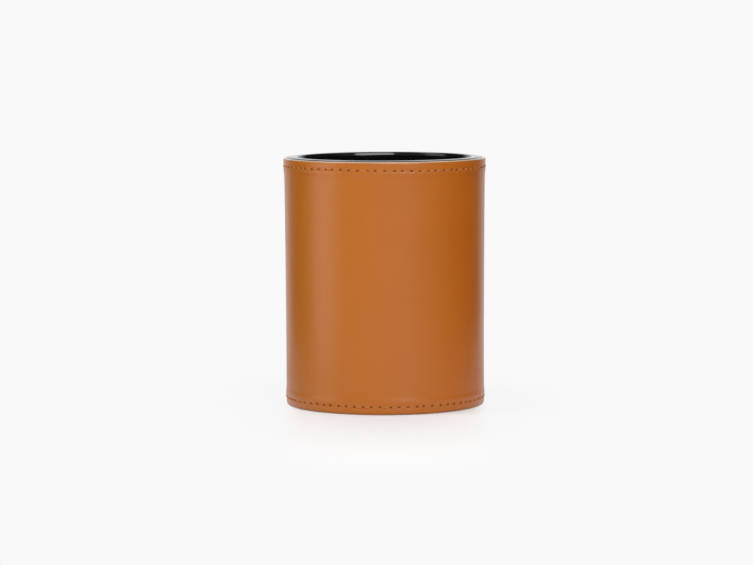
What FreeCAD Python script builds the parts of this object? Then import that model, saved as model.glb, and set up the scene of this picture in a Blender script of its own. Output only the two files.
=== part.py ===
# Round pen cup: a gloss tumbler inside a board tube, dressed in a sewn leather sleeve.
#
# Millimetres. +Z is up and the origin is the centre of the underside that the cup stands on.
# The sleeve is a sheet of leather wrapped round the tube. Its two ends meet in an upright seam
# at the back, on the +Y side, and its long edges are turned in as hems and sewn.

import FreeCAD, Part

import math
import os

from FreeCAD import Vector

# ---------------------------------------------------------------- driving dimensions

# The whole cup
overall_height = 99.1           # table to the top of the tumbler's lip
body_diameter = 80.0            # smooth leather at the top of the sleeve
body_draft = 0.5                # radius lost from the top of the sleeve to its foot
lip_proud = 0.4                 # the lip stands this far above the sleeve
pad_proud = 0.2                 # the base pad stands this far below the sleeve

# Leather sleeve
leather_thickness = 0.75
backing_thickness = 0.45
top_hem_height = 4.8            # the edge is turned in this far
foot_hem_height = 4.8
hem_shoulder = 0.6              # height over which a hem falls back to the single leather
foot_pull_in = 0.2              # the foot hem is drawn in this far at its lower edge
outer_fold_radius = 0.75        # round of a folded edge, outside
inner_fold_radius = 0.45        # round of a folded edge, inside

# Back seam
seam_gap = 0.3                  # between the two ends of the leather
seam_bevel_width = 1.1          # the pressed ends slope into the seam from this wide
seam_bevel_depth = 0.4
seam_row_offset = 2.4           # from the seam to each upright row of stitches
seam_row_margin = 1.0           # plain leather between those rows and the hems
backing_joint_angle = 15.0      # degrees, from the seam to the joint in the backing

# Stitching, in thread drawn tight so that each row lies in a valley in the leather
thread_diameter = 0.6
thread_sides = 4
stitch_pitch = 3.5
stitch_length = 2.6
valley_depth = 0.4
valley_width = 1.5
top_row_inset = 3.35            # from the sleeve's top edge
foot_row_inset = 3.1            # from the sleeve's foot

# Board tube and base
core_thickness = 2.3
board_thickness = 2.0
pad_thickness = 1.2
pad_margin = 0.4                # round the pad, inside the sleeve

# Tumbler
wall_thickness = 2.1
floor_thickness = 2.5
flange_thickness = 2.2
flange_margin = 0.4             # between the lip and the sleeve
lip_outer_radius = 0.9
lip_inner_radius = 0.8
floor_corner_radius = 3.0
heel_radius = 1.5
foot_ring_width = 3.5
foot_ring_height = 0.8

# Turning
round_steps = 2                 # short flats that each rounded corner is turned in
small_round = 0.5               # a round up to this radius is turned as a single flat
round_limit = 0.45              # of a side, the most that the round at one end may take

# ---------------------------------------------------------------- levels and layers

sleeve_foot = pad_proud
sleeve_top = overall_height - lip_proud
board_top = pad_thickness + board_thickness
flange_underside = overall_height - flange_thickness
floor_underside = board_top + foot_ring_height
floor_top = floor_underside + floor_thickness
foot_hem_top = sleeve_foot + foot_hem_height
foot_shoulder = foot_hem_top + hem_shoulder
top_hem_foot = sleeve_top - top_hem_height
top_shoulder = top_hem_foot - hem_shoulder
top_row = sleeve_top - top_row_inset
foot_row = sleeve_foot + foot_row_inset

sleeve_thickness = leather_thickness + backing_thickness
hem_bulge = leather_thickness - backing_thickness
thread_radius = thread_diameter / 2
thread_depth = valley_depth - thread_radius

origin = Vector(0, 0, 0)
up = Vector(0, 0, 1)
across = Vector(0, 1, 0)
outward = Vector(1, 0, 0)
back = 90                       # degrees from +X round to +Y


def skin(z, depth=0.0):
    """Radius at height z of the drafted surface that lies depth under the smooth leather."""
    share = (sleeve_top - z) / (sleeve_top - sleeve_foot)
    return body_diameter / 2 - body_draft * share - depth


def core_face(z):
    """Radius at height z where the sleeve meets the board tube."""
    return skin(z, sleeve_thickness)


def tumbler_face(z):
    """Radius at height z where the board tube meets the tumbler."""
    return skin(z, sleeve_thickness + core_thickness)


def well_face(z):
    """Radius at height z of the tumbler's inside."""
    return skin(z, sleeve_thickness + core_thickness + wall_thickness)


def top_hem_face(z):
    """Radius at height z of the top hem."""
    return skin(z) + hem_bulge


def foot_hem_face(z):
    """Radius at height z of the foot hem, which draws in evenly towards its lower edge."""
    share = (foot_hem_top - z) / foot_hem_height
    return skin(z) + hem_bulge - foot_pull_in * share


# ---------------------------------------------------------------- turning

def round_corner(before, corner, after, radius):
    """Points of a round at a corner between its two neighbours, on an arc tangent to both sides.

    The arc starts and ends at radius * tan(turn / 2) from the corner, or where the shorter
    side limits it, and bulges towards the corner.
    """
    to_before = before - corner
    to_after = after - corner
    half_turn = (math.pi - to_before.getAngle(to_after)) / 2
    longest = round_limit * min(to_before.Length, to_after.Length)
    reach = min(radius * math.tan(half_turn), longest)
    start = corner + to_before.normalize() * reach
    end = corner + to_after.normalize() * reach
    inward = (to_before + to_after).normalize()
    middle = corner + inward * reach * (1 / math.cos(half_turn) - 1) / math.tan(half_turn)
    steps = round_steps if radius > small_round else 1
    return Part.Arc(start, middle, end).toShape().discretize(steps + 1)


def straight_side(start, end):
    """Edge between two points. A sloping one is a spline of degree one, which turns into a
    face of long strips."""
    if math.isclose(start.x, end.x) or math.isclose(start.z, end.z):
        return Part.LineSegment(start, end).toShape()
    line = Part.BSplineCurve()
    line.buildFromPolesMultsKnots([start, end], [2, 2], [0, 1], False, 1)
    return line.toShape()


def turned(corners):
    """Solid of revolution about Z. Its outline's corners are (radius, z) when sharp, or
    (radius, z, corner radius) when rounded."""
    places = [Vector(corner[0], 0, corner[1]) for corner in corners]
    points = []
    for index, corner in enumerate(corners):
        place = places[index]
        if len(corner) == 3:
            after = places[(index + 1) % len(places)]
            points += round_corner(places[index - 1], place, after, corner[2])
        else:
            points.append(place)
    sides = [straight_side(a, b) for a, b in zip(points, points[1:] + points[:1])]
    return Part.Face(Part.Wire(sides)).revolve(origin, up, 360)


def rotated(shape, degrees):
    """A copy of the shape, turned about Z."""
    copy = shape.copy()
    copy.rotate(origin, up, degrees)
    return copy


# ---------------------------------------------------------------- tumbler

def make_inner_cup():
    """Moulded tumbler: drafted wall, flat lip over the tube's end, and a ring to stand on."""
    ring_inside = tumbler_face(board_top) - foot_ring_width
    lip_edge = core_face(sleeve_top) - flange_margin
    return turned([
        (0, floor_underside),
        (ring_inside, floor_underside),
        (ring_inside, board_top),
        (tumbler_face(board_top), board_top, heel_radius),
        (tumbler_face(flange_underside), flange_underside),
        (lip_edge, flange_underside),
        (lip_edge, overall_height, lip_outer_radius),
        (well_face(overall_height), overall_height, lip_inner_radius),
        (well_face(floor_top), floor_top, floor_corner_radius),
        (0, floor_top),
    ])


# ---------------------------------------------------------------- board tube and base

def make_core_tube():
    """Wrapped greyboard tube, which stands on the base board under the tumbler's lip."""
    return turned([
        (tumbler_face(board_top), board_top),
        (core_face(board_top), board_top),
        (core_face(flange_underside), flange_underside),
        (tumbler_face(flange_underside), flange_underside),
    ])


def make_base_board():
    """Greyboard disc that closes the foot of the sleeve and carries the tube and tumbler."""
    return turned([
        (0, pad_thickness),
        (core_face(pad_thickness), pad_thickness),
        (core_face(board_top), board_top),
        (0, board_top),
    ])


def make_base_pad():
    """Soft disc glued under the base board, which the cup stands on."""
    return Part.makeCylinder(core_face(sleeve_foot) - pad_margin, pad_thickness)


# ---------------------------------------------------------------- leather sleeve

def valley(face, row):
    """Corners of the valley that a row of stitches pulls in a hem, from its lower side up."""
    low = row - valley_width / 2
    high = row + valley_width / 2
    return [(face(low), low), (face(row) - valley_depth, row), (face(high), high)]


def upright_cutter(half_outline, low, high):
    """Cutter that follows the drafted leather from height low to high, on the +X side.

    Its level section is symmetrical: half_outline has (depth, half width) from the deepest.
    """
    right = [Vector(skin(low, depth), half, low) for depth, half in half_outline]
    left = [Vector(point.x, -point.y, low) for point in reversed(right) if point.y > 0]
    section = Part.Face(Part.makePolygon(right + left + right[:1]))
    return section.extrude(Vector(skin(high) - skin(low), 0, high - low))


def bevel(depth, floor_width, mouth_width):
    """Half outline of a groove that opens evenly towards the face of the leather and past it."""
    beyond = leather_thickness
    slope = (mouth_width - floor_width) / 2 / depth
    return [(depth, floor_width / 2), (-beyond, mouth_width / 2 + beyond * slope)]


def seam_row_angles():
    """Directions of the two upright rows, one each side of the back seam."""
    swing = math.degrees(math.asin(seam_row_offset / (body_diameter / 2)))
    return back - swing, back + swing


def make_leather_cover():
    """Wrapped leather with both long edges turned in and its two ends meeting at the back."""
    sleeve = turned([
        (core_face(sleeve_top), sleeve_top, inner_fold_radius),
        (core_face(top_hem_foot), top_hem_foot),
        (skin(top_hem_foot, leather_thickness), top_hem_foot),
        (skin(foot_hem_top, leather_thickness), foot_hem_top),
        (core_face(foot_hem_top), foot_hem_top),
        (core_face(sleeve_foot), sleeve_foot, inner_fold_radius),
        (foot_hem_face(sleeve_foot), sleeve_foot, outer_fold_radius),
        *valley(foot_hem_face, foot_row),
        (foot_hem_face(foot_hem_top), foot_hem_top),
        (skin(foot_shoulder), foot_shoulder),
        (skin(top_shoulder), top_shoulder),
        (top_hem_face(top_hem_foot), top_hem_foot),
        *valley(top_hem_face, top_row),
        (top_hem_face(sleeve_top), sleeve_top, outer_fold_radius),
    ])
    below = sleeve_foot - leather_thickness
    above = sleeve_top + leather_thickness
    through = sleeve_thickness + leather_thickness
    seam = [(through, seam_gap / 2), *bevel(seam_bevel_depth, seam_gap, seam_bevel_width)]
    cutters = [rotated(upright_cutter(seam, below, above), back)]
    row_valley = upright_cutter(bevel(valley_depth, 0, valley_width), foot_shoulder, top_shoulder)
    cutters += [rotated(row_valley, angle) for angle in seam_row_angles()]
    return sleeve.cut(cutters)


def make_backing_sheet():
    """Fibre sheet glued inside the leather between the hems, with a joint beside the seam."""
    sheet = turned([
        (core_face(foot_hem_top), foot_hem_top),
        (skin(foot_hem_top, leather_thickness), foot_hem_top),
        (skin(top_hem_foot, leather_thickness), top_hem_foot),
        (core_face(top_hem_foot), top_hem_foot),
    ])
    joint = Part.makeBox(body_diameter, seam_gap, overall_height, -across * (seam_gap / 2))
    return sheet.cut(rotated(joint, back + backing_joint_angle))


# ---------------------------------------------------------------- stitches

def make_stitch(middle, run, sideways):
    """One stitch on the +X side: a bar of thread with one edge down in its valley."""
    corners = []
    for index in range(thread_sides):
        angle = 2 * math.pi * index / thread_sides
        arm = sideways * math.sin(angle) - outward * math.cos(angle)
        corners.append(middle - run / 2 + arm * thread_radius)
    return Part.Face(Part.makePolygon(corners + corners[:1])).extrude(run)


def make_hem_stitches(face, row):
    """Stitches evenly spaced round a hem, with the back seam between two of them."""
    radius = face(row) - thread_depth
    count = round(2 * math.pi * radius / stitch_pitch)
    step = 360 / count
    stitch = make_stitch(Vector(radius, 0, row), across * stitch_length, up)
    return Part.makeCompound([rotated(stitch, back + (i + 0.5) * step) for i in range(count)])


def make_seam_stitches():
    """Two upright rows of stitches, evenly spaced between the hems."""
    low = foot_shoulder + seam_row_margin
    high = top_shoulder - seam_row_margin
    start = Vector(skin(low, thread_depth), 0, low)
    row = Vector(skin(high, thread_depth), 0, high) - start
    count = int((row.Length - stitch_length) / stitch_pitch) + 1
    run = Vector(row).normalize() * stitch_length
    step = (row - run) / (count - 1)
    stitches = []
    for angle in seam_row_angles():
        for index in range(count):
            stitch = make_stitch(start + run / 2 + step * index, run, across)
            stitches.append(rotated(stitch, angle))
    return Part.makeCompound(stitches)


# ---------------------------------------------------------------- nodes

nodes = {
    "inner_cup": make_inner_cup(),
    "core_tube": make_core_tube(),
    "leather_cover": make_leather_cover(),
    "backing_sheet": make_backing_sheet(),
    "top_stitching": make_hem_stitches(top_hem_face, top_row),
    "bottom_stitching": make_hem_stitches(foot_hem_face, foot_row),
    "back_seam_stitching": make_seam_stitches(),
    "base_board": make_base_board(),
    "base_pad": make_base_pad(),
}

os.makedirs("parts", exist_ok=True)
for name, shape in nodes.items():
    shape.exportStep(f"parts/{name}.step")
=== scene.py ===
"""Round desk cup for pens: a gloss black tumbler in a board tube, dressed in sewn tan leather.

Metres, +Z up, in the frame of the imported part: the cup stands on z = 0, round the Z axis, with
the leather's upright seam at the back, on the +Y side. The sections follow the cup as it is
put together. After them come the floor, the lights and the camera.
"""

import math

import bpy
import numpy as np
from mathutils import Matrix, Vector


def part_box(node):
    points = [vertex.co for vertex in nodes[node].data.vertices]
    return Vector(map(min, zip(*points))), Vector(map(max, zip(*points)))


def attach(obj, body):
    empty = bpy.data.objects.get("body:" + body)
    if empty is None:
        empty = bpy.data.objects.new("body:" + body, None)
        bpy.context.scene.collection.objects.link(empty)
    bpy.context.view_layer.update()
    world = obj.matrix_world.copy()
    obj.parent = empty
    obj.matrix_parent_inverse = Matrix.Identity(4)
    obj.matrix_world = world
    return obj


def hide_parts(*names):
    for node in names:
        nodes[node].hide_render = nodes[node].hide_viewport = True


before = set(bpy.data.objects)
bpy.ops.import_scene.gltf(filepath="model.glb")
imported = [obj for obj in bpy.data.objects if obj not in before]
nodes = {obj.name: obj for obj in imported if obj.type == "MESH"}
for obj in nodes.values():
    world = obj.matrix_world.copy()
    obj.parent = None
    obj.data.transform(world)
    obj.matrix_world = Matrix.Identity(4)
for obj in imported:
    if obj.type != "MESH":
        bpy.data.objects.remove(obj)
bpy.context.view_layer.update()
mm = 0.001


# ================================================================ board tube and base board
# A tube wound from greyboard and glued to a greyboard disc is the cup's hidden body. All
# that can be made out of it later is the tube's cut end, in the gap round the lip.

def wire(tree, value, socket):
    """Links another node's output to a socket, or sets a plain value on it."""
    if isinstance(value, bpy.types.NodeSocket):
        tree.links.new(value, socket)
    else:
        socket.default_value = value


def add(tree, kind, inputs=None, **settings):
    """Adds a shader node. The inputs go by socket name or number."""
    node = tree.nodes.new(kind)
    for setting, value in settings.items():
        setattr(node, setting, value)
    for socket, value in (inputs or {}).items():
        wire(tree, value, node.inputs[socket])
    return node


def sums(tree, operation, a, b=0.0):
    """Output of a Math node."""
    return add(tree, "ShaderNodeMath", {0: a, 1: b}, operation=operation).outputs[0]


def between(tree, value, low, high, start=0.0, end=1.0):
    """Smooth step from start to end while value goes from low to high."""
    inputs = {"Value": value, 1: low, 2: high, 3: start, 4: end}
    node = add(tree, "ShaderNodeMapRange", inputs, interpolation_type="SMOOTHSTEP")
    return node.outputs["Result"]


def colours(tree, share, a, b):
    """Colour that goes from a to b while share goes from 0 to 1."""
    colour_a, colour_b, result = 6, 7, 2
    inputs = {0: share, colour_a: a, colour_b: b}
    return add(tree, "ShaderNodeMix", inputs, data_type="RGBA").outputs[result]


def noise(tree, place, scale, detail=2.0, roughness=0.5):
    """Value of a noise texture, about 0.5 on the whole."""
    inputs = {"Vector": place, "Scale": scale, "Detail": detail, "Roughness": roughness}
    return add(tree, "ShaderNodeTexNoise", inputs).outputs[0]


def bump(tree, height, distance, normal=None):
    """Normal bent by a height that goes from 0 to 1 over the given distance."""
    inputs = {"Height": height, "Distance": distance, "Strength": 1.0}
    if normal:
        inputs["Normal"] = normal
    return add(tree, "ShaderNodeBump", inputs).outputs[0]


def finish_named(name, colour, roughness):
    """New material. Returns it, its nodes and its Principled shader."""
    material = bpy.data.materials.new(name)
    material.use_nodes = True
    tree = material.node_tree
    shader = tree.nodes["Principled BSDF"]
    wire(tree, colour, shader.inputs["Base Color"])
    wire(tree, roughness, shader.inputs["Roughness"])
    return material, tree, shader


def group_tree(name, inputs, outputs):
    """New shader group. Sockets are (name, kind). Returns it, its input node and output node."""
    tree = bpy.data.node_groups.new(name, "ShaderNodeTree")
    for direction, sockets in (("INPUT", inputs), ("OUTPUT", outputs)):
        for socket, kind in sockets:
            tree.interface.new_socket(socket, in_out=direction, socket_type="NodeSocket" + kind)
    return tree, tree.nodes.new("NodeGroupInput"), tree.nodes.new("NodeGroupOutput")


def matted_fibre_group():
    """Matted short fibres: two noises, one drawn out in threads, mix two colours and a height."""
    tuft_share, tangle_share = 0.6, 0.4
    fleck_height, colour_height = 0.38, 0.64
    inputs = [("Colour", "Color"), ("Fleck", "Color"), ("Fibres per metre", "Float")]
    outputs = [("Colour", "Color"), ("Height", "Float")]
    tree, given, result = group_tree("matted_fibre", inputs, outputs)
    place = add(tree, "ShaderNodeTexCoord").outputs["Object"]
    scale = given.outputs["Fibres per metre"]
    tufts = noise(tree, place, scale, detail=4.0, roughness=0.6)
    tangle = add(tree, "ShaderNodeTexNoise", {"Vector": place, "Scale": scale, "Distortion": 2.5})
    tufts = sums(tree, "MULTIPLY", tufts, tuft_share)
    tangle = sums(tree, "MULTIPLY", tangle.outputs[0], tangle_share)
    height = sums(tree, "ADD", tufts, tangle)
    share = between(tree, height, fleck_height, colour_height)
    mixed = colours(tree, share, given.outputs["Fleck"], given.outputs["Colour"])
    wire(tree, mixed, result.inputs["Colour"])
    wire(tree, height, result.inputs["Height"])
    return tree


matted_fibre = matted_fibre_group()


def fibre_finish(name, colour, fleck, fibres_per_metre, relief, roughness):
    """Material of matted fibres, with the relief as the depth of its bumps in metres."""
    material, tree, shader = finish_named(name, colour, roughness)
    inputs = {"Colour": colour, "Fleck": fleck, "Fibres per metre": fibres_per_metre}
    group = add(tree, "ShaderNodeGroup", node_tree=matted_fibre)
    for socket, value in inputs.items():
        wire(tree, value, group.inputs[socket])
    wire(tree, group.outputs["Colour"], shader.inputs["Base Color"])
    wire(tree, bump(tree, group.outputs["Height"], relief), shader.inputs["Normal"])
    return material, shader


greyboard, _ = fibre_finish(
    "greyboard",
    colour=(0.24, 0.22, 0.19, 1),
    fleck=(0.13, 0.12, 0.10, 1),
    fibres_per_metre=1100,
    relief=0.06 * mm,
    roughness=0.9,
)
for board_piece in ("core_tube", "base_board"):
    nodes[board_piece].material_slots[0].material = greyboard


# ================================================================ tumbler
# A tumbler moulded in gloss black plastic stands in the tube. Its wall leans out a little for
# the mould, and its inside opens out once more just below the lip. The flat lip rests on the
# tube's end and hides it.

tumbler_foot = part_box("inner_cup")[0].z
lip_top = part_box("inner_cup")[1].z
lip_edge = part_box("inner_cup")[1].x
lip_thickness = 2.2 * mm
lip_underside = lip_top - lip_thickness
wall_thickness = 2.1 * mm
tumbler_top_radius = 36.5 * mm
tumbler_draft = 0.5 * mm
lip_flare = 0.32 * mm           # the wall's inside opens out to the lip
lip_flare_height = 1.2 * mm
lip_unevenness = 0.05 * mm
foot_ring_width = 3.5 * mm
foot_ring_height = 0.8 * mm
tumbler_floor = 2.5 * mm

crisp_corner = 0.15 * mm        # the radii of the outline's corners
foot_corner = 1.5 * mm
lip_outer_corner = 0.9 * mm
lip_inner_corner = 0.5 * mm
flare_corner = 1.0 * mm
floor_corner = 3.0 * mm


def rounded_outline(corners, steps, guard):
    """Outline of straight runs joined by arcs, as rows of (radius from the axis, height).

    A corner is (radius from the axis, height, corner radius). Its arc touches both runs as
    far from the corner as the corner radius times the tangent of half the turn, and each of
    its points is a blend of the two spokes to those ends by sines of the angle. A guard
    point on each run, a little way off the arc, keeps the run's shading flat.
    """
    points = [corners[0][:2]]
    for before, corner, after in zip(corners, corners[1:], corners[2:]):
        middle, radius = np.array(corner[:2]), corner[2]
        to_before = np.array(before[:2]) - middle
        to_after = np.array(after[:2]) - middle
        to_before /= np.linalg.norm(to_before)
        to_after /= np.linalg.norm(to_after)
        turn = math.pi - math.acos(np.clip(to_before @ to_after, -1, 1))
        reach = radius * math.tan(turn / 2)
        inward = (to_before + to_after) / np.linalg.norm(to_before + to_after)
        centre = middle + inward * radius / math.cos(turn / 2)
        start, end = middle + to_before * reach, middle + to_after * reach
        angle = np.linspace(0, turn, steps + 1)[:, None]
        spokes = np.sin(turn - angle) * (start - centre) + np.sin(angle) * (end - centre)
        arc = centre + spokes / math.sin(turn)
        points += [start + to_before * guard, *arc, end + to_after * guard]
    return np.array([*points, corners[-1][:2]])


def piece_of(name, points, faces, material, uv=None):
    """Smooth-shaded mesh object at the origin, from rows of points and a list of faces."""
    mesh = bpy.data.meshes.new(name)
    mesh.from_pydata(points, [], faces)
    mesh.polygons.foreach_set("use_smooth", np.ones(len(mesh.polygons), bool))
    if uv is not None:
        mesh.uv_layers.new(name="uv").data.foreach_set("uv", uv.astype(np.float32).ravel())
    mesh.materials.append(material)
    mesh.update()
    piece = bpy.data.objects.new(name, mesh)
    bpy.context.scene.collection.objects.link(piece)
    return piece


def quads(index, wrap_rows=False, wrap_columns=False):
    """Faces of a grid of point numbers, turned outwards where rows rise and columns run round."""
    if wrap_rows:
        index = np.vstack([index, index[:1]])
    if wrap_columns:
        index = np.hstack([index, index[:, :1]])
    corners = [index[:-1, :-1], index[:-1, 1:], index[1:, 1:], index[1:, :-1]]
    return np.stack(corners, -1).reshape(-1, 4).tolist()


def turned_piece(name, outline, columns, material, lift=None):
    """Outline carried round the Z axis, from one point on the axis to the other.

    A point at angle a is (r cos a, r sin a, z), and lift(a, z) may add a height to it.
    """
    angle = np.arange(columns) * 2 * math.pi / columns
    radius, height = outline[1:-1, :1], outline[1:-1, 1:]
    level = height + (lift(angle, height) if lift else 0 * angle)
    points = np.stack([radius * np.cos(angle), radius * np.sin(angle), level], -1).reshape(-1, 3)
    index = np.arange(len(points)).reshape(-1, columns)
    poles = np.array([[0, 0, outline[0, 1]], [0, 0, outline[-1, 1]]])
    low, high = len(points), len(points) + 1
    faces = quads(index, wrap_columns=True)
    faces += [[low, b, a] for a, b in zip(index[0], np.roll(index[0], -1))]
    faces += [[high, a, b] for a, b in zip(index[-1], np.roll(index[-1], -1))]
    return piece_of(name, np.vstack([points, poles]), faces, material)


def tumbler_face(z):
    """Radius of the tumbler's outside at height z."""
    return tumbler_top_radius - tumbler_draft * (lip_top - z) / (lip_top - tumbler_foot)


def lip_warp(angle, z):
    """Slight warp of the moulded lip: a sum of two slow waves, felt only near the top."""
    one_crest, two_crests = math.radians(100), math.radians(190)
    nearness = np.clip((z - lip_underside) / lip_thickness, 0, 1)
    wave = 0.5 * np.cos(angle - one_crest) + 0.5 * np.cos(2 * angle - two_crests)
    return lip_unevenness * (wave - 1) * nearness


floor_underside = tumbler_foot + foot_ring_height
floor_top = floor_underside + tumbler_floor
ring_inside = tumbler_face(tumbler_foot) - foot_ring_width
mouth = tumbler_face(lip_top) - wall_thickness
tumbler_outline = rounded_outline([
    (0, floor_underside),
    (ring_inside, floor_underside, crisp_corner),
    (ring_inside, tumbler_foot, crisp_corner),
    (tumbler_face(tumbler_foot), tumbler_foot, foot_corner),
    (tumbler_face(lip_underside), lip_underside, crisp_corner),
    (lip_edge, lip_underside, crisp_corner),
    (lip_edge, lip_top, lip_outer_corner),
    (mouth + lip_flare, lip_top, lip_inner_corner),
    (mouth, lip_top - lip_flare_height, flare_corner),
    (tumbler_face(floor_top) - wall_thickness, floor_top, floor_corner),
    (0, floor_top),
], steps=8, guard=0.12 * mm)


def uneven_gloss_group():
    """Gloss of a handled surface: roughness that drifts slowly, with fine rubbed specks."""
    specks_per_patch, speck_share, noise_middle = 30.0, 0.5, 0.75
    inputs = [("Roughness", "Float"), ("Spread", "Float"), ("Patches per metre", "Float")]
    tree, given, result = group_tree("uneven_gloss", inputs, [("Roughness", "Float")])
    place = add(tree, "ShaderNodeTexCoord").outputs["Object"]
    scale = given.outputs["Patches per metre"]
    patches = noise(tree, place, scale, detail=3.0)
    specks = noise(tree, place, sums(tree, "MULTIPLY", scale, specks_per_patch))
    mixed = sums(tree, "ADD", patches, sums(tree, "MULTIPLY", specks, speck_share))
    drift = sums(tree, "SUBTRACT", mixed, noise_middle)
    drift = sums(tree, "MULTIPLY", drift, given.outputs["Spread"])
    wire(tree, sums(tree, "ADD", given.outputs["Roughness"], drift), result.inputs["Roughness"])
    return tree


uneven_gloss = uneven_gloss_group()


def gloss_on(tree, shader, roughness, spread, patches_per_metre):
    """Feeds a shader's roughness from the uneven gloss."""
    group = add(tree, "ShaderNodeGroup", node_tree=uneven_gloss)
    values = {"Roughness": roughness, "Spread": spread, "Patches per metre": patches_per_metre}
    for socket, value in values.items():
        wire(tree, value, group.inputs[socket])
    wire(tree, group.outputs["Roughness"], shader.inputs["Roughness"])


deep_black = (0.0045, 0.0045, 0.004, 1)
moulded_black, tree, shader = finish_named("gloss_black_plastic", deep_black, roughness=0.12)
gloss_on(tree, shader, roughness=0.10, spread=0.08, patches_per_metre=60)
place = add(tree, "ShaderNodeTexCoord").outputs["Object"]
sink_marks = noise(tree, place, scale=45, detail=1.0)
orange_peel = noise(tree, place, scale=900)
moulded = bump(tree, sink_marks, distance=0.15 * mm)
moulded = bump(tree, orange_peel, distance=0.002 * mm, normal=moulded)
wire(tree, moulded, shader.inputs["Normal"])

tumbler = turned_piece("tumbler", tumbler_outline, columns=288, material=moulded_black, lift=lip_warp)
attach(tumbler, "root")
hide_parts("inner_cup")


# ================================================================ fibre backing
# A thin sheet of pressed fibre is glued inside the leather between the hems. It stiffens the
# sleeve, and the finished cup hides it.

fibre_backing, _ = fibre_finish(
    "fibre_backing",
    colour=(0.40, 0.30, 0.18, 1),
    fleck=(0.24, 0.17, 0.10, 1),
    fibres_per_metre=1600,
    relief=0.04 * mm,
    roughness=0.85,
)
nodes["backing_sheet"].material_slots[0].material = fibre_backing


# ================================================================ leather cover
# One sheet of smooth tan leather, wrapped round the tube over its backing. Both long edges
# are turned in as hems and sewn, and the two ends meet in an upright seam at the back.

sleeve_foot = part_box("leather_cover")[0].z
sleeve_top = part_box("leather_cover")[1].z
hem_bulge = 0.3 * mm
body_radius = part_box("leather_cover")[1].x - hem_bulge
body_draft = 0.5 * mm
waist = 0.08 * mm               # the middle is drawn in by this much
leather_thickness = 0.75 * mm
sleeve_thickness = 1.2 * mm

hem_height = 4.8 * mm
top_hem_foot = sleeve_top - hem_height
foot_hem_top = sleeve_foot + hem_height
hem_swell = 0.20 * mm           # the part of a hem's bulge that fades slowly
top_hem_step = 1.3 * mm         # height over which the hem's edge shows through
top_hem_reach = 3.0 * mm
foot_hem_step = 2.2 * mm
foot_hem_reach = 4.0 * mm
foot_pull_in = 0.25 * mm
top_row = sleeve_top - 3.35 * mm
foot_row = sleeve_foot + 3.1 * mm
hem_waves = ((3, 1.0, 0.4), (5, 0.8, 2.1), (8, 0.6, 4.4), (13, 0.5, 1.2))   # turns, size, start
hem_wave_size = 0.02 * mm
hem_wave_lean = 40              # radians that a wave leans by in a metre of height
hem_wave_reach = 7 * mm
top_fold_height = 0.85 * mm
top_fold_power = 0.75
foot_fold_height = 1.7 * mm
foot_fold_power = 0.95
crest_slopes = (0.0, 0.70)      # the top fold is painted pale, as a highlight, between these upward slopes of it

top_stitches = 72
foot_stitches = 71
seam_stitches = 24
seam_row_offset = 2.4 * mm
seam_row_inset = 1.6 * mm
seam_row_low = foot_hem_top + seam_row_inset
seam_row_high = top_hem_foot - seam_row_inset
seam_row_fade = 1.2 * mm
top_wander = 0.25 * mm          # how far the hems' rows of stitches climb and fall
foot_wander = 0.10 * mm

valley_depth = 0.03 * mm
valley_half_width = 0.55 * mm
row_reach = 4 * valley_half_width       # past this the thread no longer pulls the leather in
hole_depth = 0.28 * mm
hole_half_length = 0.67 * mm
hole_half_width = 0.46 * mm
hole_power = 1.3                # over 1 gives a hole's bell a flat bottom
hole_drift = 0.09               # a hole's error along the row, as a share of the pitch
hole_off_line = 0.06 * mm
hole_sizes = (0.8, 1.15)
pucker = 0.015 * mm
pucker_half_height = 1.0 * mm
pucker_drift = 0.15             # a gather's error along the row, as a share of the pitch
hem_to_puckers = 1.2 * mm

seam_half_gap = 0.14 * mm
seam_gap_softness = 0.4         # share of the half gap over which its edge rounds off
seam_half_bevel = 0.6 * mm
seam_depth = 0.75 * mm
seam_bevel_depth = 0.25 * mm

back = math.pi / 2
workmanship = np.random.default_rng(7)


def rise(low, high, value):
    """Smooth step from 0 at low to 1 at high: thrice the square less twice the cube."""
    share = np.clip((value - low) / (high - low), 0, 1)
    return share * share * (3 - 2 * share)


def hill(value, half_width):
    """Round hill of height 1 and the given half width: a bell curve."""
    return np.exp(-(value / half_width) ** 2)


def leather_face(z):
    """Radius of the leather's outside at height z.

    A straight taper less the parabola of a shallow waist, and over each hem the bulge of the
    turned-in edge: a smooth step, and a swell that fades exponentially away from it. The
    foot hem draws in below.
    """
    share = (sleeve_top - z) / (sleeve_top - sleeve_foot)
    plain = body_radius - body_draft * share - 4 * waist * share * (1 - share)
    over_top = rise(top_hem_foot - top_hem_step, top_hem_foot, z)
    over_foot = 1 - rise(foot_hem_top, foot_hem_top + foot_hem_step, z)
    swell = np.exp(-np.maximum(top_hem_foot - z, 0) / top_hem_reach)
    swell = swell + np.exp(-np.maximum(z - foot_hem_top, 0) / foot_hem_reach)
    pull_in = foot_pull_in * np.clip((foot_hem_top - z) / (foot_hem_top - sleeve_foot), 0, 1)
    return plain + (hem_bulge - hem_swell) * (over_top + over_foot) + hem_swell * swell - pull_in


def core_face(z):
    """Radius at height z of the glued inside, where the sleeve meets the tube."""
    share = (sleeve_top - z) / (sleeve_top - sleeve_foot)
    return body_radius - body_draft * share - sleeve_thickness


def fold(edge, base, power, steps=12):
    """Folded edge as a half superellipse, from the sleeve's outside over the edge to its inside.

    Both half axes are scaled by a power of the cosine and the sine of an angle that goes
    from 0 to a half turn. A power under 1 makes the fold squarer than round.
    """
    angle = np.linspace(0, math.pi, steps + 1)
    cosine, sine = np.cos(angle), np.sin(angle)
    outside, inside = leather_face(base), core_face(base)
    across = np.sign(cosine) * np.abs(cosine) ** power
    radius = (outside + inside) / 2 + across * (outside - inside) / 2
    return np.stack([radius, base + (edge - base) * sine ** power], -1)


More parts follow.
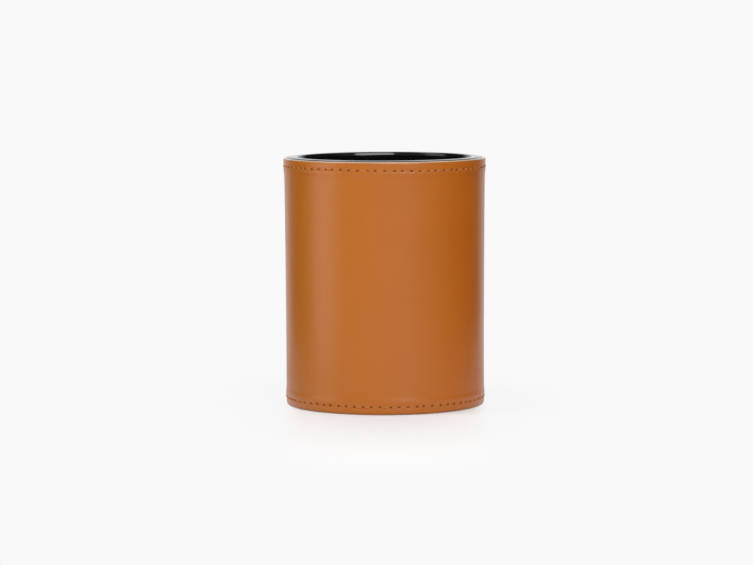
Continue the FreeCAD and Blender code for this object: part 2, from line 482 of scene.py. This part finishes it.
def sleeve_outline(levels):
    """Closed outline of the sleeve: foot fold, outside at the given levels, top fold, inside.

    Returns rows of (radius, height) and the number of the first row of the outside.
    """
    foot_fold = fold(sleeve_foot, sleeve_foot + foot_fold_height, foot_fold_power)[::-1]
    top_fold = fold(sleeve_top, sleeve_top - top_fold_height, top_fold_power)
    outside = np.stack([leather_face(levels), levels], -1)
    recess = [(core_face(z) + depth, z) for z, depth in (
        (top_hem_foot, 0),
        (top_hem_foot, sleeve_thickness - leather_thickness),
        (foot_hem_top, sleeve_thickness - leather_thickness),
        (foot_hem_top, 0),
    )]
    return np.vstack([foot_fold, outside, top_fold, recess]), len(foot_fold)


def even(stops):
    """Heights evenly spaced between stops, each given as (height, parts up to the next)."""
    runs = [np.linspace(a[0], b[0], a[1], endpoint=False) for a, b in zip(stops, stops[1:])]
    return np.concatenate([*runs, [stops[-1][0]]])


row_half_band = 1.25 * mm       # rows of points lie closest within this of a row of stitches
hem_surroundings = 5 * mm
levels = even([
    (sleeve_foot + foot_fold_height, 1),
    (foot_row - row_half_band, 15),
    (foot_row + row_half_band, 2),
    (foot_hem_top, 7),
    (foot_hem_top + foot_hem_step, 4),
    (foot_hem_top + hem_surroundings, 6),
    (top_hem_foot - hem_surroundings, 4),
    (top_hem_foot - top_hem_step, 6),
    (top_row - row_half_band, 16),
    (top_row + row_half_band, 4),
    (sleeve_top - top_fold_height, 1),
])[1:-1]


class Row:
    """One row of needle holes: how far along the row and off its line each hole lies, how
    large it is, and how the thread lies in it."""

    def __init__(self, count, length, closed, wander=0.0, crest=0.0):
        self.wander, self.crest = wander, crest
        self.count = count
        self.pitch = length / count
        self.closed = closed
        holes = count if closed else count + 1
        self.drift = workmanship.normal(0, hole_drift, holes) * self.pitch
        self.off_line = workmanship.normal(0, hole_off_line, holes)
        self.size = workmanship.uniform(*hole_sizes, holes)
        if closed:
            self.size *= self.slack(2 * math.pi * np.arange(holes) / holes)
        self.lay = workmanship.normal(0, 1, (2, holes))

    @staticmethod
    def slack(from_seam):
        """How open a hem's thread leaves its holes, by the angle from the seam.

        A constant less three waves: a cosine with four crests round the cup, a sine with
        one, and the fourth power of that sine, which is felt at both sides.
        """
        open_by, four_crests, one_crest, both_sides = 0.92, 0.10, 0.06, 0.20
        side = np.sin(from_seam)
        waves = four_crests * np.cos(4 * from_seam) + one_crest * side + both_sides * side ** 4
        return open_by - waves

    def nearest(self, along):
        """Number of the hole nearest to each place along the row."""
        number = np.rint(along / self.pitch).astype(int)
        return number % self.count if self.closed else np.clip(number, 0, self.count)

    def place(self, number):
        """Distance of the holes along the row. The number may run past a closed row's end."""
        return number * self.pitch + self.drift[number % len(self.drift)]

    def climb(self, angle):
        """Height of a hem's row over its level: a wave with two crests round the cup."""
        return self.wander * np.cos(2 * (angle - self.crest))


def mean_radius(row_level):
    """Radius that distances along a hem's row are measured at."""
    return leather_face(row_level) - valley_depth


top_length = 2 * math.pi * mean_radius(top_row)
foot_length = 2 * math.pi * mean_radius(foot_row)
top_holes = Row(top_stitches, top_length, closed=True, wander=top_wander, crest=math.radians(215))
foot_holes = Row(foot_stitches, foot_length, closed=True, wander=foot_wander)
seam_holes = [Row(seam_stitches, seam_row_high - seam_row_low, closed=False) for side in (-1, 1)]


def sewn(row, along, off):
    """Depth that a row of stitches pulls into the leather, and how deep in a hole that is.

    A shallow valley runs the length of the row, and each needle hole is a flat-bottomed
    bell in it.
    """
    number = row.nearest(along)
    gap = along - number * row.pitch
    if row.closed:
        length = row.count * row.pitch
        gap = (gap + length / 2) % length - length / 2
    to_hole = gap - row.drift[number]
    off_hole = off - row.off_line[number]
    size = row.size[number]
    reach = (to_hole / (hole_half_length * size)) ** 2 + (off_hole / (hole_half_width * size)) ** 2
    hole = np.exp(-reach ** hole_power)
    valley = hill(off, valley_half_width)
    return valley_depth * valley + hole_depth * hole, hole


def puckers(row, along, from_middle):
    """Small gathers that the tight thread leaves beside a hem: a cosine at the stitches' pitch,
    stronger and weaker from one stitch to the next."""
    number = row.nearest(along)
    strength = row.lay[0][number]
    phase = 2 * math.pi * (along / row.pitch + pucker_drift * row.lay[1][number])
    return pucker * strength * np.cos(phase) * hill(from_middle, pucker_half_height)


def hem_wander(angle, z):
    """Slow unevenness of the hems in the hand-fed work: a few sine waves round the cup."""
    waves = np.zeros_like(angle + z)
    for turns, size, start in hem_waves:
        waves = waves + size * np.sin(turns * angle + start + hem_wave_lean * z)
    near_hem = hill(z - sleeve_top, hem_wave_reach) + hill(z - sleeve_foot, hem_wave_reach)
    return hem_wave_size * waves * near_hem


def upright_seam(from_seam):
    """Depth of the seam, and how deep in its gap that is.

    Both ends of the leather slope in, by the square of the nearness, to a narrow gap.
    """
    distance = np.abs(from_seam)
    bevel = seam_bevel_depth * (1 - np.clip(distance / seam_half_bevel, 0, 1)) ** 2
    softness = seam_half_gap * seam_gap_softness
    gap = 1 - rise(seam_half_gap - softness, seam_half_gap + softness, distance)
    return bevel + (seam_depth - seam_bevel_depth) * gap, gap


def dressed_leather(angle, outline, first, last):
    """Points of the sleeve over a grid of outline rows and columns round the cup.

    A point starts on the outline turned to its angle, and moves against the outline's normal
    by the depth of the stitching, between the folds alone, and of the seam, on all of the
    outside. There the hems' slow unevenness is also added to its radius.
    Returns the points, how much painted shade each takes from a hole or a cut, and how far it is on the
    crest of the top fold, which goes by how much its normal points up and sets where a highlight is
    painted.
    """
    z = outline[:, 1:]
    tangent = np.roll(outline, -1, 0) - np.roll(outline, 1, 0)
    normal = np.stack([tangent[:, 1], -tangent[:, 0]], -1)
    normal /= np.linalg.norm(normal, axis=1, keepdims=True)
    outside = np.zeros((len(outline), 1))
    outside[:last] = 1
    flat = np.zeros((len(outline), 1))
    flat[first:last - 1] = 1
    round_back = angle - back
    depth = np.zeros((len(outline), len(angle)))
    # dark marks where shade is painted: in the needle holes and in the seam's gap
    dark = np.zeros_like(depth)
    for row, level, gathers in (
        (top_holes, top_row, top_hem_foot - hem_to_puckers),
        (foot_holes, foot_row, foot_hem_top + hem_to_puckers),
    ):
        along = (round_back % (2 * math.pi)) * mean_radius(level)
        pulled, hole = sewn(row, along[None, :], z - level - row.climb(angle)[None, :])
        depth += (pulled + puckers(row, along, z - gathers)) * flat
        dark = np.maximum(dark, hole * flat)
    from_seam = ((round_back + math.pi) % (2 * math.pi) - math.pi) * body_radius
    above_low_end = rise(seam_row_low - seam_row_fade, seam_row_low, z)
    upright = above_low_end * (1 - rise(seam_row_high, seam_row_high + seam_row_fade, z))
    for side, row in zip((-1, 1), seam_holes):
        off = from_seam - side * seam_row_offset
        near = np.abs(off) < row_reach
        pulled, hole = sewn(row, z - seam_row_low, off[None, :])
        depth += np.where(near, pulled, 0) * flat * upright
        dark = np.maximum(dark, np.where(near, hole, 0) * flat * upright)
    groove, cut = upright_seam(from_seam)
    depth += groove * outside
    dark = np.maximum(dark, cut * outside)
    wander = hem_wander(angle[None, :], z)
    radius = outline[:, :1] - normal[:, :1] * depth + wander * outside
    height = z - normal[:, 1:] * depth
    points = np.stack([radius * np.cos(angle), radius * np.sin(angle), height + 0 * angle], -1)
    # the crest mark places the painted highlight on the top fold where it faces up
    crest = rise(*crest_slopes, normal[:, 1:]) * (z > top_row) + 0 * angle
    return points, dark, crest


column_width = 0.32 * mm
seam_column_width = 0.15 * mm
seam_row_spacing = 0.25 * mm
seam_row_margin = 2 * mm
seam_strip = 4.0 * mm           # half the width of the strip with finer columns


def leather_mesh():
    """The sleeve's points, its faces and its marks, in two grids joined round the cup.

    The strip with the seam has finer columns, and many more rows for its upright stitches.
    Every row of the wide grid is also a row of the strip, so along each joint a face of the
    wide grid takes in all the strip's points between its two rows.
    """
    outline, first = sleeve_outline(levels)
    last = first + len(levels)
    parts = np.ones(len(levels) - 1, int)
    above_low_end = levels[:-1] > seam_row_low - seam_row_margin
    beside_row = above_low_end & (levels[1:] < seam_row_high + seam_row_margin)
    parts[beside_row] = np.ceil(np.diff(levels)[beside_row] / seam_row_spacing).astype(int)
    fine_levels = even([*zip(levels, parts), (levels[-1], 1)])
    fine_outline, _ = sleeve_outline(fine_levels)
    fine_last = first + len(fine_levels)
    kept = np.concatenate([
        np.arange(first),
        first + np.concatenate([[0], np.cumsum(parts)]),
        np.arange(fine_last, len(fine_outline)),
    ])
    half = seam_strip / body_radius
    strip_columns = 2 * round(seam_strip / seam_column_width)
    strip_angle = back + np.linspace(-half, half, strip_columns + 1)
    wide_columns = round((2 * math.pi - 2 * half) * body_radius / column_width)
    wide_angle = back + np.linspace(half, 2 * math.pi - half, wide_columns + 1)[1:-1]
    strip, *strip_marks = dressed_leather(strip_angle, fine_outline, first, fine_last)
    wide, *wide_marks = dressed_leather(wide_angle, outline, first, last)
    points = np.vstack([strip.reshape(-1, 3), wide.reshape(-1, 3)])
    marks = [np.concatenate([a.ravel(), b.ravel()]) for a, b in zip(strip_marks, wide_marks)]
    strip_index = np.arange(strip[..., 0].size).reshape(strip.shape[:2])
    wide_index = strip_index.size + np.arange(wide[..., 0].size).reshape(wide.shape[:2])
    faces = quads(strip_index, wrap_rows=True) + quads(wide_index, wrap_rows=True)
    fine_rows = len(fine_outline)
    for low, high, row, next_row in zip(kept, np.roll(kept, -1), wide_index, np.roll(wide_index, -1, 0)):
        climb = (low + np.arange((high - low) % fine_rows + 1)) % fine_rows
        faces.append([*strip_index[climb[::-1], -1], row[0], next_row[0]])
        faces.append([*strip_index[climb, 0], next_row[-1], row[-1]])
    return points, faces, dict(zip(("darkness", "crest"), marks))


tan = (0.50, 0.134, 0.009, 1)
tan_left_highlight_tint = (0.505, 0.147, 0.010, 1)  # painted light: the left side is tinted yellower, as in the left lamp's highlight
left_highlight_tint_until = (-36 * mm, 10 * mm)
# painted shade: the right side, the shaded one, is tinted redder
tan_right_shade_tint = (0.50, 0.118, 0.005, 1)
right_shade_tint_from = (20 * mm, 35 * mm)
tan_pale = (0.52, 0.143, 0.011, 1)
# painted shade in the needle holes and in the seam's gap
hole_painted_shade = (0.23, 0.055, 0.004, 1)
# painted sheen and painted highlight on the top fold, paler where its normal points up
painted_fold_sheen = (0.385, 0.210, 0.100, 1)
painted_crest_highlight = (0.57, 0.365, 0.23, 1)
tide_noise = (0.3, 0.7)         # the noise over which the pale tan comes, and how far
tide_share = 0.5
pore_noise = (0.28, 0.40)
pore_tone = 0.9
fold_sheen_range = (0.0, 0.5)         # the crest mark over which the fold takes its painted sheen, before its painted highlight
crest_highlight_range = (0.4, 1.0)
painted_shade_range = (0.10, 0.60)
fibrous_darkness = (0.0, 0.3)
finish_roughness = 0.32
crest_roughness = 0.14
cut_roughness = 0.85

tan_leather, tree, shader = finish_named("tan_leather", tan, roughness=0.4)
place = add(tree, "ShaderNodeTexCoord").outputs["Object"]
left_to_right = add(tree, "ShaderNodeSeparateXYZ", {0: place}).outputs["X"]
# Painted light by the X coordinate: yellower towards the left, as in the left highlight, and redder
# towards the right, as in shade.
side_lit_tan = colours(tree, between(tree, left_to_right, *left_highlight_tint_until), tan_left_highlight_tint, tan)
side_lit_tan = colours(tree, between(tree, left_to_right, *right_shade_tint_from), side_lit_tan, tan_right_shade_tint)
tide = noise(tree, place, scale=55, detail=3.0)
hide_tone_and_side_light = colours(tree, between(tree, tide, *tide_noise, end=tide_share), side_lit_tan, tan_pale)
pores = between(tree, noise(tree, place, scale=2600), *pore_noise, start=pore_tone)
toned = add(tree, "ShaderNodeVectorMath", {0: hide_tone_and_side_light, 3: pores}, operation="SCALE").outputs[0]
crest = add(tree, "ShaderNodeAttribute", attribute_name="crest").outputs["Fac"]
# painted sheen, then a painted highlight, where the top fold faces up
crest_highlighted = colours(tree, between(tree, crest, *fold_sheen_range), toned, painted_fold_sheen)
crest_highlighted = colours(tree, between(tree, crest, *crest_highlight_range), crest_highlighted, painted_crest_highlight)
darkness = add(tree, "ShaderNodeAttribute", attribute_name="darkness").outputs["Fac"]
# painted shade where the darkness mark is high: the needle holes and the seam's gap
shaded_in_holes = colours(tree, between(tree, darkness, *painted_shade_range), crest_highlighted, hole_painted_shade)
wire(tree, shaded_in_holes, shader.inputs["Base Color"])

worn = between(tree, crest, 0.0, 1.0, finish_roughness, crest_roughness)
fibrous = between(tree, darkness, *fibrous_darkness)
fibrous = sums(tree, "MULTIPLY", fibrous, cut_roughness)
rough = sums(tree, "MAXIMUM", worn, fibrous)
gloss_on(tree, shader, rough, spread=0.06, patches_per_metre=70)
grain_cells = {"Vector": place, "Scale": 1500.0, "Smoothness": 0.6}
grain = add(tree, "ShaderNodeTexVoronoi", grain_cells, feature="SMOOTH_F1").outputs["Distance"]
wire(tree, bump(tree, grain, distance=0.012 * mm), shader.inputs["Normal"])

points, faces, marks = leather_mesh()
leather = piece_of("leather_sleeve", points, faces, tan_leather)
for mark, values in marks.items():
    attribute = leather.data.attributes.new(mark, "FLOAT", "POINT")
    attribute.data.foreach_set("value", values.astype(np.float32))
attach(leather, "root")
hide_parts("leather_cover")


# ================================================================ stitching
# Twisted tan thread in a lock stitch: on the face each stitch is a short bar that comes up
# through one needle hole and goes down through the next. One row goes round each hem, and
# two upright rows hold the ends of the leather down beside the seam.

thread_half_width = 0.31 * mm
thread_half_height = 0.21 * mm
thread_stand = -0.05 * mm       # the thread's centre above the leather beside the row
thread_stand_error = 0.03 * mm
thread_dive = 0.75 * mm         # its ends below the leather
dive_power = 5                  # the higher, the nearer to its ends the thread goes down
thread_rings = 9
thread_sides = 8
hole_inset = 0.42 * mm          # the thread goes down this far from the hole's centre


def sew(name, path, outward, material):
    """Bars of thread along paths of points, with the leather's outward direction at each.

    A ring at each point is an ellipse, half width times the sine and half height times the
    cosine of an angle, square to the path. The ring's number and angle are also its UV.
    """
    path_run = np.gradient(path, axis=1)
    path_run /= np.linalg.norm(path_run, axis=-1, keepdims=True)
    sideways = np.cross(path_run, outward)
    sideways /= np.linalg.norm(sideways, axis=-1, keepdims=True)
    upwards = np.cross(sideways, path_run)
    angle = np.arange(thread_sides) * 2 * math.pi / thread_sides
    rings = (
        path[:, :, None]
        + upwards[:, :, None] * np.cos(angle)[:, None] * thread_half_height
        + sideways[:, :, None] * np.sin(angle)[:, None] * thread_half_width
    )
    count = len(path)
    index = np.arange(count * thread_rings * thread_sides)
    index = index.reshape(count, thread_rings, thread_sides)
    faces = []
    for bar in index:
        faces += quads(bar, wrap_columns=True)
    side = np.arange(thread_sides) / thread_sides
    ring = np.arange(thread_rings - 1)[:, None] + 0 * side
    step = 1 / thread_sides
    corners = [(ring, side), (ring, side + step), (ring + 1, side + step), (ring + 1, side)]
    uv = np.stack([np.stack([a / (thread_rings - 1), b + 0 * ring], -1) for a, b in corners], -2)
    uv = np.tile(uv.reshape(1, -1, 2), (count, 1, 1)).reshape(-1, 2)
    caps = [bar[0][::-1].tolist() for bar in index] + [bar[-1].tolist() for bar in index]
    uv = np.vstack([uv, np.zeros((sum(map(len, caps)), 2))])
    return piece_of(name, rings.reshape(-1, 3), faces + caps, material, uv)


def stitch_places(row):
    """Distance along the row, off its line and above the leather of each stitch's points.

    A stitch goes from a little past one hole to a little before the next. Its points crowd
    towards its ends, by the sine of an even step, and it goes down by a power of that sine.
    """
    first = np.arange(row.count)[:, None]
    swing = np.sin(np.linspace(-math.pi / 2, math.pi / 2, thread_rings))[None, :]
    start, end = row.place(first) + hole_inset, row.place(first + 1) - hole_inset
    share = (1 + swing) / 2
    along = start + (end - start) * share
    holes = len(row.off_line)
    off = row.off_line[first % holes] * (1 - share) + row.off_line[(first + 1) % holes] * share
    stand = thread_stand + thread_stand_error * row.lay[0][first % holes]
    lift = stand - (thread_stand + thread_dive) * np.abs(swing) ** dive_power
    return along, off, lift


def hem_stitches(name, row, level, material):
    """Stitches round a hem: along the row is an angle, and the lift is added to the radius."""
    along, off, lift = stitch_places(row)
    angle = back + along / mean_radius(level)
    z = level + off + row.climb(angle)
    radius = leather_face(level) + hem_wander(angle, z) + lift
    outward = np.stack([np.cos(angle), np.sin(angle), 0 * angle], -1)
    path = outward * radius[..., None] + np.array([0, 0, 1]) * z[..., None]
    return sew(name, path, outward, material)


def seam_stitch_rows(name, rows, material):
    """Upright stitches beside the seam: along the row is a height."""
    paths, outwards = [], []
    for side, row in zip((-1, 1), rows):
        along, off, lift = stitch_places(row)
        z = seam_row_low + along
        angle = back + (side * seam_row_offset + off) / body_radius
        outward = np.stack([np.cos(angle), np.sin(angle), 0 * angle], -1)
        radius = leather_face(z) + lift
        paths.append(outward * radius[..., None] + np.array([0, 0, 1]) * z[..., None])
        outwards.append(outward)
    return sew(name, np.concatenate(paths), np.concatenate(outwards), material)


thread_tan = (0.58, 0.200, 0.043, 1)
thread_shade = (0.31, 0.085, 0.015, 1)
twists_per_stitch = 5.0
shaded_below = 0.45             # strands are in shade up to this height, from 0 to 1
tan_thread, tree, shader = finish_named("tan_thread", thread_tan, roughness=0.6)
shader.inputs["Specular IOR Level"].default_value = 0.3
uv = add(tree, "ShaderNodeSeparateXYZ", {0: add(tree, "ShaderNodeUVMap", uv_map="uv").outputs[0]})
twisted = sums(tree, "MULTIPLY", uv.outputs["X"], twists_per_stitch)
turned_by = sums(tree, "ADD", twisted, uv.outputs["Y"])
strand = sums(tree, "SINE", sums(tree, "MULTIPLY", turned_by, 2 * math.pi))
strand = sums(tree, "ABSOLUTE", strand)
toned = colours(tree, between(tree, strand, 0.0, shaded_below), thread_shade, thread_tan)
wire(tree, toned, shader.inputs["Base Color"])
wire(tree, bump(tree, strand, distance=0.06 * mm), shader.inputs["Normal"])

sewing = {
    "top_stitching": hem_stitches("top_stitches", top_holes, top_row, tan_thread),
    "bottom_stitching": hem_stitches("foot_stitches", foot_holes, foot_row, tan_thread),
    "back_seam_stitching": seam_stitch_rows("seam_stitches", seam_holes, tan_thread),
}
for node, stitches in sewing.items():
    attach(stitches, "root")
    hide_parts(node)


# ================================================================ base pad
# A disc of thin dark felt, die cut and glued under the base board, keeps the cup from
# scratching the desk. From the side it is a dark line below the leather.

pad_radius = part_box("base_pad")[1].x
pad_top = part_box("base_pad")[1].z
pad_low_corner = 0.25 * mm
pad_high_corner = 0.1 * mm
pad_outline = rounded_outline([
    (0, 0),
    (pad_radius, 0, pad_low_corner),
    (pad_radius, pad_top, pad_high_corner),
    (0, pad_top),
], steps=5, guard=0.3 * mm)
felt, shader = fibre_finish(
    "black_felt",
    colour=(0.030, 0.026, 0.023, 1),
    fleck=(0.012, 0.010, 0.009, 1),
    fibres_per_metre=1300,
    relief=0.25 * mm,
    roughness=0.95,
)
shader.inputs["Sheen Weight"].default_value = 0.2
pad = turned_piece("felt_pad", pad_outline, columns=240, material=felt)
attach(pad, "root")
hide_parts("base_pad")


# ================================================================ floor
# A white paper sweep on a table, under the cup and up behind it. It isn't part of the object.
# To the camera and in the gloss it glows evenly. Only beside the cup is it lit as it lies, so
# that the cup has its shadow.

white_seen = 0.945              # the pale background as the camera sees it
sweep_half_width = 0.18
sweep_front = -0.75
sweep_back = 1.25
sweep_height = 0.9
sweep_bend = 0.35


def sweep_mesh():
    """Sheet that runs back along the floor, bends up by a quarter circle and goes on upright."""
    turn = np.linspace(0, math.pi / 2, 25)
    bend = sweep_back - sweep_bend + sweep_bend * np.sin(turn)
    run = np.concatenate([[sweep_front, 0], bend, [sweep_back]])
    height = np.concatenate([[0, 0], sweep_bend * (1 - np.cos(turn)), [sweep_height]])
    across = np.array([-sweep_half_width, sweep_half_width])
    points = np.stack(np.broadcast_arrays(across, run[:, None], height[:, None]), -1).reshape(-1, 3)
    return points, quads(np.arange(len(points)).reshape(-1, 2))


paper_white = (0.97, 0.97, 0.967, 1)
paper_grey = (0.52, 0.52, 0.517, 1)     # what light on its way to the cup meets
shadow_grey = (0.38, 0.38, 0.377, 1)    # and close to the cup's foot
grey_distances = (40 * mm, 160 * mm)
patch_squeeze = 2.8             # the patch that is lit as it lies is narrower than long
patch_edge = (120 * mm, 220 * mm)
patch_behind = (45 * mm, 130 * mm)
shadow_sides = (32 * mm, 41 * mm)
shadow_shares = (0.73, 0.11)    # how much of the true light shows within and beyond them
dim_sides = (65 * mm, 105 * mm)         # the gloss mirrors a dimmer paper beside the cup
dim_edge = (100 * mm, 200 * mm)
dim_by = 0.5

paper, tree, shader = finish_named("white_paper", paper_white, roughness=0.9)
light_path = add(tree, "ShaderNodeLightPath").outputs
place = add(tree, "ShaderNodeTexCoord").outputs["Object"]
lies = add(tree, "ShaderNodeSeparateXYZ", {0: place}).outputs
off_axis = sums(tree, "ABSOLUTE", lies["X"])
away = add(tree, "ShaderNodeVectorMath", {0: place}, operation="LENGTH").outputs["Value"]
squeeze = {0: place, 1: (patch_squeeze, 1, 1)}
squeezed = add(tree, "ShaderNodeVectorMath", squeeze, operation="MULTIPLY").outputs[0]
from_cup = add(tree, "ShaderNodeVectorMath", {0: squeezed}, operation="LENGTH").outputs["Value"]

looked_at = sums(tree, "MAXIMUM", light_path["Is Camera Ray"], light_path["Is Glossy Ray"])
met = colours(tree, between(tree, from_cup, *grey_distances), shadow_grey, paper_grey)
wire(tree, colours(tree, looked_at, met, paper_white), shader.inputs["Base Color"])

lit_share = between(tree, off_axis, *shadow_sides, *shadow_shares)
lit_share = sums(tree, "MULTIPLY", lit_share, between(tree, from_cup, *patch_edge, 1.0, 0.0))
lit_share = sums(tree, "MULTIPLY", lit_share, between(tree, lies["Y"], *patch_behind, 1.0, 0.0))
glow_share = sums(tree, "MULTIPLY", looked_at, sums(tree, "SUBTRACT", 1.0, lit_share))
dim_beside = between(tree, off_axis, *dim_sides, end=dim_by)
dim_beside = sums(tree, "MULTIPLY", dim_beside, between(tree, away, *dim_edge, 1.0, 0.0))
dimmed = sums(tree, "MULTIPLY", light_path["Is Glossy Ray"], dim_beside)
brightness = sums(tree, "MULTIPLY", sums(tree, "SUBTRACT", 1.0, dimmed), white_seen)
glow = add(tree, "ShaderNodeEmission", {"Color": (1, 1, 1, 1), "Strength": brightness})
lit = add(tree, "ShaderNodeMixShader", {0: glow_share, 1: shader.outputs[0], 2: glow.outputs[0]})

below = add(tree, "ShaderNodeNewGeometry").outputs["Backfacing"]
clear = add(tree, "ShaderNodeBsdfTransparent")
surface = add(tree, "ShaderNodeMixShader", {0: below, 1: lit.outputs[0], 2: clear.outputs[0]})
wire(tree, surface.outputs[0], tree.nodes["Material Output"].inputs["Surface"])

sweep_points, sweep_faces = sweep_mesh()
sweep = piece_of("paper_sweep", sweep_points, sweep_faces, paper)


# ================================================================ lights
# A studio: pale panels round the horizon, a large soft lamp in front and a little to the
# right, a lamp on each side, and one behind that lights the paper from above.

room = bpy.data.worlds.new("room")
bpy.context.scene.world = room
room.use_nodes = True
tree = room.node_tree
room_light = 0.04
panel_top_fade = 10             # degrees on each side of a panel's top

# A ray's direction, its level part, and how steeply it climbs or falls.
towards = add(tree, "ShaderNodeTexCoord").outputs["Generated"]
level = add(tree, "ShaderNodeVectorMath", {0: towards, 1: (1, 1, 0)}, operation="MULTIPLY").outputs[0]
level = add(tree, "ShaderNodeVectorMath", {0: level}, operation="NORMALIZE").outputs[0]
climb = sums(tree, "ABSOLUTE", add(tree, "ShaderNodeSeparateXYZ", {0: towards}).outputs["Z"])


def panel(bearing, half_width, soft_edge, reach, brightness):
    """Light of an upright panel far off, whose sides and top fade by smooth steps.

    Its bearing is in degrees from the front towards the right, and it reaches as far below
    the horizon as above, because the white table mirrors it.
    """
    middle = (math.sin(math.radians(bearing)), -math.cos(math.radians(bearing)), 0)
    nearness = add(tree, "ShaderNodeVectorMath", {0: level, 1: middle}, operation="DOT_PRODUCT")
    outer, inner = (math.cos(math.radians(half_width + side * soft_edge)) for side in (1, -1))
    across = between(tree, nearness.outputs["Value"], outer, inner, end=brightness)
    low, high = (math.sin(math.radians(reach + side * panel_top_fade)) for side in (-1, 1))
    return sums(tree, "MULTIPLY", across, between(tree, climb, low, high, 1.0, 0.0))


studio = room_light
for pale_panel in (
    panel(bearing=180.8, half_width=37.3, soft_edge=12, reach=50, brightness=0.95),
    panel(bearing=-74, half_width=14, soft_edge=8, reach=25, brightness=1.65),
    panel(bearing=0, half_width=66, soft_edge=22, reach=30, brightness=0.30),
):
    studio = sums(tree, "MAXIMUM", pale_panel, studio)
to_camera = add(tree, "ShaderNodeLightPath").outputs["Is Camera Ray"]
strength = add(tree, "ShaderNodeMix", {0: to_camera, 2: studio, 3: white_seen}).outputs[0]
wire(tree, strength, tree.nodes["Background"].inputs["Strength"])
tree.nodes["Background"].inputs["Color"].default_value = (1, 1, 1, 1)


def soft_lamp(name, bearing, elevation, distance, width, height, brightness, roll=0):
    """Area lamp that faces the cup, where brightness 1 is that of white paper in plain light.

    Its bearing is as for a panel. Bearing, elevation and roll are in degrees.
    """
    lamp = bpy.data.lights.new(name, "AREA")
    lamp.shape = "RECTANGLE"
    lamp.size, lamp.size_y = width, height
    lamp.energy = brightness * math.pi * width * height
    holder = bpy.data.objects.new(name, lamp)
    bpy.context.scene.collection.objects.link(holder)
    bearing, elevation = math.radians(bearing), math.radians(elevation)
    level = math.cos(elevation)
    away = Vector((math.sin(bearing) * level, -math.cos(bearing) * level, math.sin(elevation)))
    holder.location = away * distance + Vector((0, 0, lip_top / 2))
    aim = (-away).to_track_quat("-Z", "Y").to_matrix()
    holder.rotation_euler = (aim @ Matrix.Rotation(math.radians(roll), 3, "Z")).to_euler()


soft_lamp("front_softbox", bearing=15, elevation=28, distance=1.6,
          width=1.4, height=0.8, brightness=5.42, roll=-30)
soft_lamp("left_softbox", bearing=-75, elevation=46, distance=1.6,
          width=0.55, height=1.0, brightness=4.8)
soft_lamp("right_softbox", bearing=85, elevation=48, distance=1.6,
          width=1.0, height=0.8, brightness=1.05)
soft_lamp("overhead_softbox", bearing=180, elevation=65, distance=1.4,
          width=1.3, height=1.1, brightness=1.4)


# ================================================================ camera
# It looks a few degrees down at the cup, from the front and through a long lens, which
# keeps the cup's sides nearly upright.

lens = bpy.data.cameras.new("camera")
lens.sensor_width = 36
lens.lens = 154.36
lens.clip_end = 20
camera = bpy.data.objects.new("camera", lens)
bpy.context.scene.collection.objects.link(camera)
degrees_down = 5.104
roll = -0.0036
camera_place = Vector((-0.003363, -1.2865, 0.16343))
tilt = Matrix.Rotation(math.radians(90 - degrees_down), 4, "X")
turn = tilt @ Matrix.Rotation(roll, 4, "Z")
camera.matrix_world = Matrix.Translation(camera_place) @ turn
bpy.context.scene.camera = camera
bpy.context.scene.view_settings.view_transform = "Standard"
